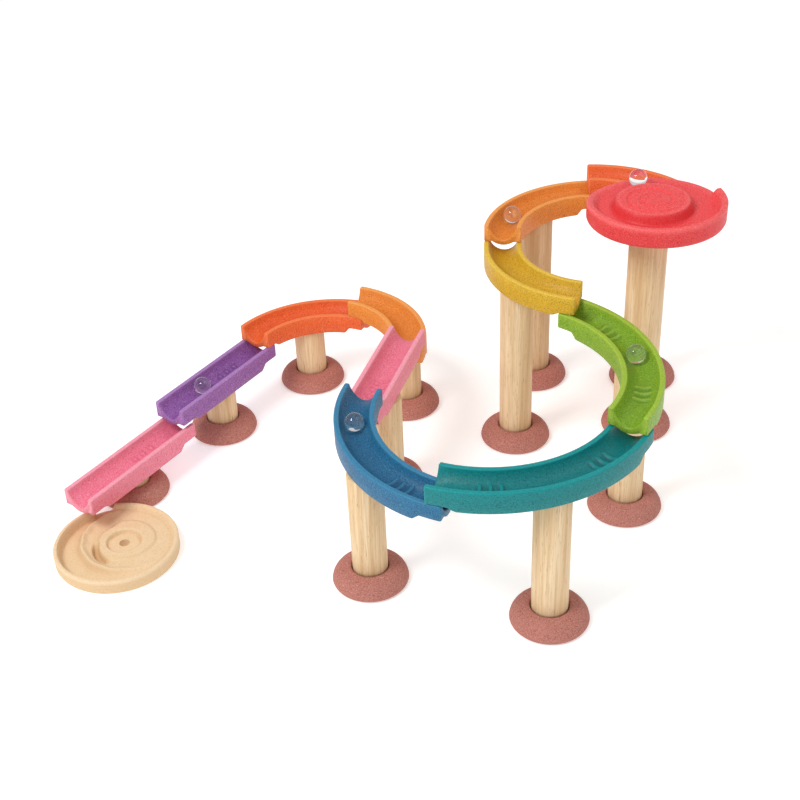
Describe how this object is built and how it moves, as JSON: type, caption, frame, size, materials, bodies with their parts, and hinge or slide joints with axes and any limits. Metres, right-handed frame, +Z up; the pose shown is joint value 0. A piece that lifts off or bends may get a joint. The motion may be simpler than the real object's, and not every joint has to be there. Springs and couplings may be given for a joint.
{
  "type": "toy marble run",
  "caption": "Toy marble run: curved and straight channel tracks step down turned wooden posts on round feet, from a raised spiral disc to a catch disc on the table.",
  "frame": {"origin": "bottom centre of the whole run, on the table", "axes": "+X along the longest extent, from the catch disc towards the start disc; +Y towards the back; +Z up"},
  "size_m": [0.6032, 0.4432, 0.2432],
  "materials": {
    "stained_red_orange": "dyed compressed-sawdust composite, fine speckle, satin",
    "stained_light_orange": "dyed compressed-sawdust composite, fine speckle, satin",
    "stained_yellow": "dyed compressed-sawdust composite, fine speckle, satin",
    "stained_green": "dyed compressed-sawdust composite, fine speckle, satin",
    "stained_teal": "dyed compressed-sawdust composite, fine speckle, satin",
    "stained_blue": "dyed compressed-sawdust composite, fine speckle, satin",
    "stained_pink": "dyed compressed-sawdust composite, fine speckle, satin",
    "stained_purple": "dyed compressed-sawdust composite, fine speckle, satin",
    "stained_red": "dyed compressed-sawdust composite, fine speckle, satin",
    "natural_composite": "undyed compressed-sawdust composite, matte, fine speckle",
    "turned_wood": "sanded rubberwood, upright grain, light satin",
    "terracotta_wood": "terracotta-dyed sawdust composite, matte, speckled",
    "clear_glass": "polished clear glass"
  },
  "bodies": {
    "stands": {"post_red_orange_curve_1": "turned_wood", "base_red_orange_curve_1": "terracotta_wood", "post_light_orange_curve_1": "turned_wood", "base_light_orange_curve_1": "terracotta_wood", "post_yellow_curve": "turned_wood", "base_yellow_curve": "terracotta_wood", "post_green_curve": "turned_wood", "base_green_curve": "terracotta_wood", "post_teal_curve": "turned_wood", "base_teal_curve": "terracotta_wood", "post_blue_curve": "turned_wood", "base_blue_curve": "terracotta_wood", "post_pink_straight_1": "turned_wood", "base_pink_straight_1": "terracotta_wood", "post_light_orange_curve_2": "turned_wood", "base_light_orange_curve_2": "terracotta_wood", "post_red_orange_curve_2": "turned_wood", "base_red_orange_curve_2": "terracotta_wood", "post_purple_straight": "turned_wood", "base_purple_straight": "terracotta_wood", "post_pink_straight_2": "turned_wood", "base_pink_straight_2": "terracotta_wood", "post_start_disc": "turned_wood", "base_start_disc": "terracotta_wood"},
    "red_orange_curve_1": {"red_orange_curve_1": "stained_red_orange"},
    "light_orange_curve_1": {"light_orange_curve_1": "stained_light_orange"},
    "yellow_curve": {"yellow_curve": "stained_yellow"},
    "green_curve": {"green_curve": "stained_green"},
    "teal_curve": {"teal_curve": "stained_teal"},
    "blue_curve": {"blue_curve": "stained_blue"},
    "pink_straight_1": {"pink_straight_1": "stained_pink"},
    "light_orange_curve_2": {"light_orange_curve_2": "stained_light_orange"},
    "red_orange_curve_2": {"red_orange_curve_2": "stained_red_orange"},
    "purple_straight": {"purple_straight": "stained_purple"},
    "pink_straight_2": {"pink_straight_2": "stained_pink"},
    "start_disc": {"start_disc": "stained_red"},
    "end_disc": {"end_disc": "natural_composite"},
    "marble_light_orange": {"marble_light_orange": "clear_glass"},
    "marble_green": {"marble_green": "clear_glass"},
    "marble_blue": {"marble_blue": "clear_glass"},
    "marble_purple": {"marble_purple": "clear_glass"},
    "marble_start_disc": {"marble_start_disc": "clear_glass"}
  },
  "joints": [
    {"name": "red_orange_curve_1_swivel", "type": "hinge", "parent": "stands", "child": "red_orange_curve_1", "pos_m": [0.25802, 0.15287, 0.1945], "axis": [0, 0, 1], "range_deg": [-1, 1]},
    {"name": "light_orange_curve_1_swivel", "type": "hinge", "parent": "stands", "child": "light_orange_curve_1", "pos_m": [0.15147, 0.16999, 0.178], "axis": [0, 0, 1], "range_deg": [-1, 1]},
    {"name": "yellow_curve_swivel", "type": "hinge", "parent": "stands", "child": "yellow_curve", "pos_m": [0.12044, 0.06611, 0.1615], "axis": [0, 0, 1], "range_deg": [-0.1, 0.1]},
    {"name": "green_curve_swivel", "type": "hinge", "parent": "stands", "child": "green_curve", "pos_m": [0.20275, -0.05077, 0.145], "axis": [0, 0, 1], "range_deg": [-0.1, 0.1]},
    {"name": "teal_curve_swivel", "type": "hinge", "parent": "stands", "child": "teal_curve", "pos_m": [0.117, -0.18915, 0.1285], "axis": [0, 0, 1], "range_deg": [-0.6, 0.6]},
    {"name": "blue_curve_swivel", "type": "hinge", "parent": "stands", "child": "blue_curve", "pos_m": [-0.02496, -0.12681, 0.112], "axis": [0, 0, 1], "range_deg": [-0.6, 0.6]},
    {"name": "pink_straight_1_swivel", "type": "hinge", "parent": "stands", "child": "pink_straight_1", "pos_m": [-0.00336, 0.00481, 0.0955], "axis": [0, 0, 1], "range_deg": [-1, 1]},
    {"name": "light_orange_curve_2_swivel", "type": "hinge", "parent": "stands", "child": "light_orange_curve_2", "pos_m": [0.02049, 0.13198, 0.079], "axis": [0, 0, 1], "range_deg": [-1, 1]},
    {"name": "red_orange_curve_2_swivel", "type": "hinge", "parent": "stands", "child": "red_orange_curve_2", "pos_m": [-0.07289, 0.18914, 0.0625], "axis": [0, 0, 1], "range_deg": [-1, 1]},
    {"name": "purple_straight_swivel", "type": "hinge", "parent": "stands", "child": "purple_straight", "pos_m": [-0.16079, 0.10998, 0.046], "axis": [0, 0, 1], "range_deg": [-1, 1]},
    {"name": "pink_straight_2_swivel", "type": "hinge", "parent": "stands", "child": "pink_straight_2", "pos_m": [-0.23955, 0.01537, 0.025], "axis": [0, 0, 1], "range_deg": [-1, 1]},
    {"name": "start_disc_spin", "type": "hinge", "parent": "stands", "child": "start_disc", "pos_m": [0.23625, 0.07183, 0.2185], "axis": [0, 0, 1], "continuous": true},
    {"name": "end_disc_slide", "type": "slide", "parent": "stands", "child": "end_disc", "axis": [-0.6081, -0.7939, 0], "range_m": [0, 0.06]},
    {"name": "marble_light_orange_roll", "type": "hinge", "parent": "light_orange_curve_1", "child": "marble_light_orange", "pos_m": [0.19732, 0.09656, 0.178], "axis": [0, 0, 1], "range_deg": [-50.2, 12.8]},
    {"name": "marble_green_roll", "type": "hinge", "parent": "green_curve", "child": "marble_green", "pos_m": [0.08161, -0.06928, 0.145], "axis": [0, 0, 1], "range_deg": [-38.3, 33.3]},
    {"name": "marble_blue_roll", "type": "hinge", "parent": "blue_curve", "child": "marble_blue", "pos_m": [0.09173, -0.07772, 0.112], "axis": [0, 0, 1], "range_deg": [-18.4, 51.1]},
    {"name": "marble_purple_roll", "type": "slide", "parent": "purple_straight", "child": "marble_purple", "axis": [-0.6081, -0.7939, 0], "range_m": [-0.0669, 0.0366]},
    {"name": "marble_start_disc_roll", "type": "hinge", "parent": "start_disc", "child": "marble_start_disc", "pos_m": [0.24155, 0.07483, 0.2185], "axis": [0, 0, 1], "range_deg": [-45, 200]}
  ]
}
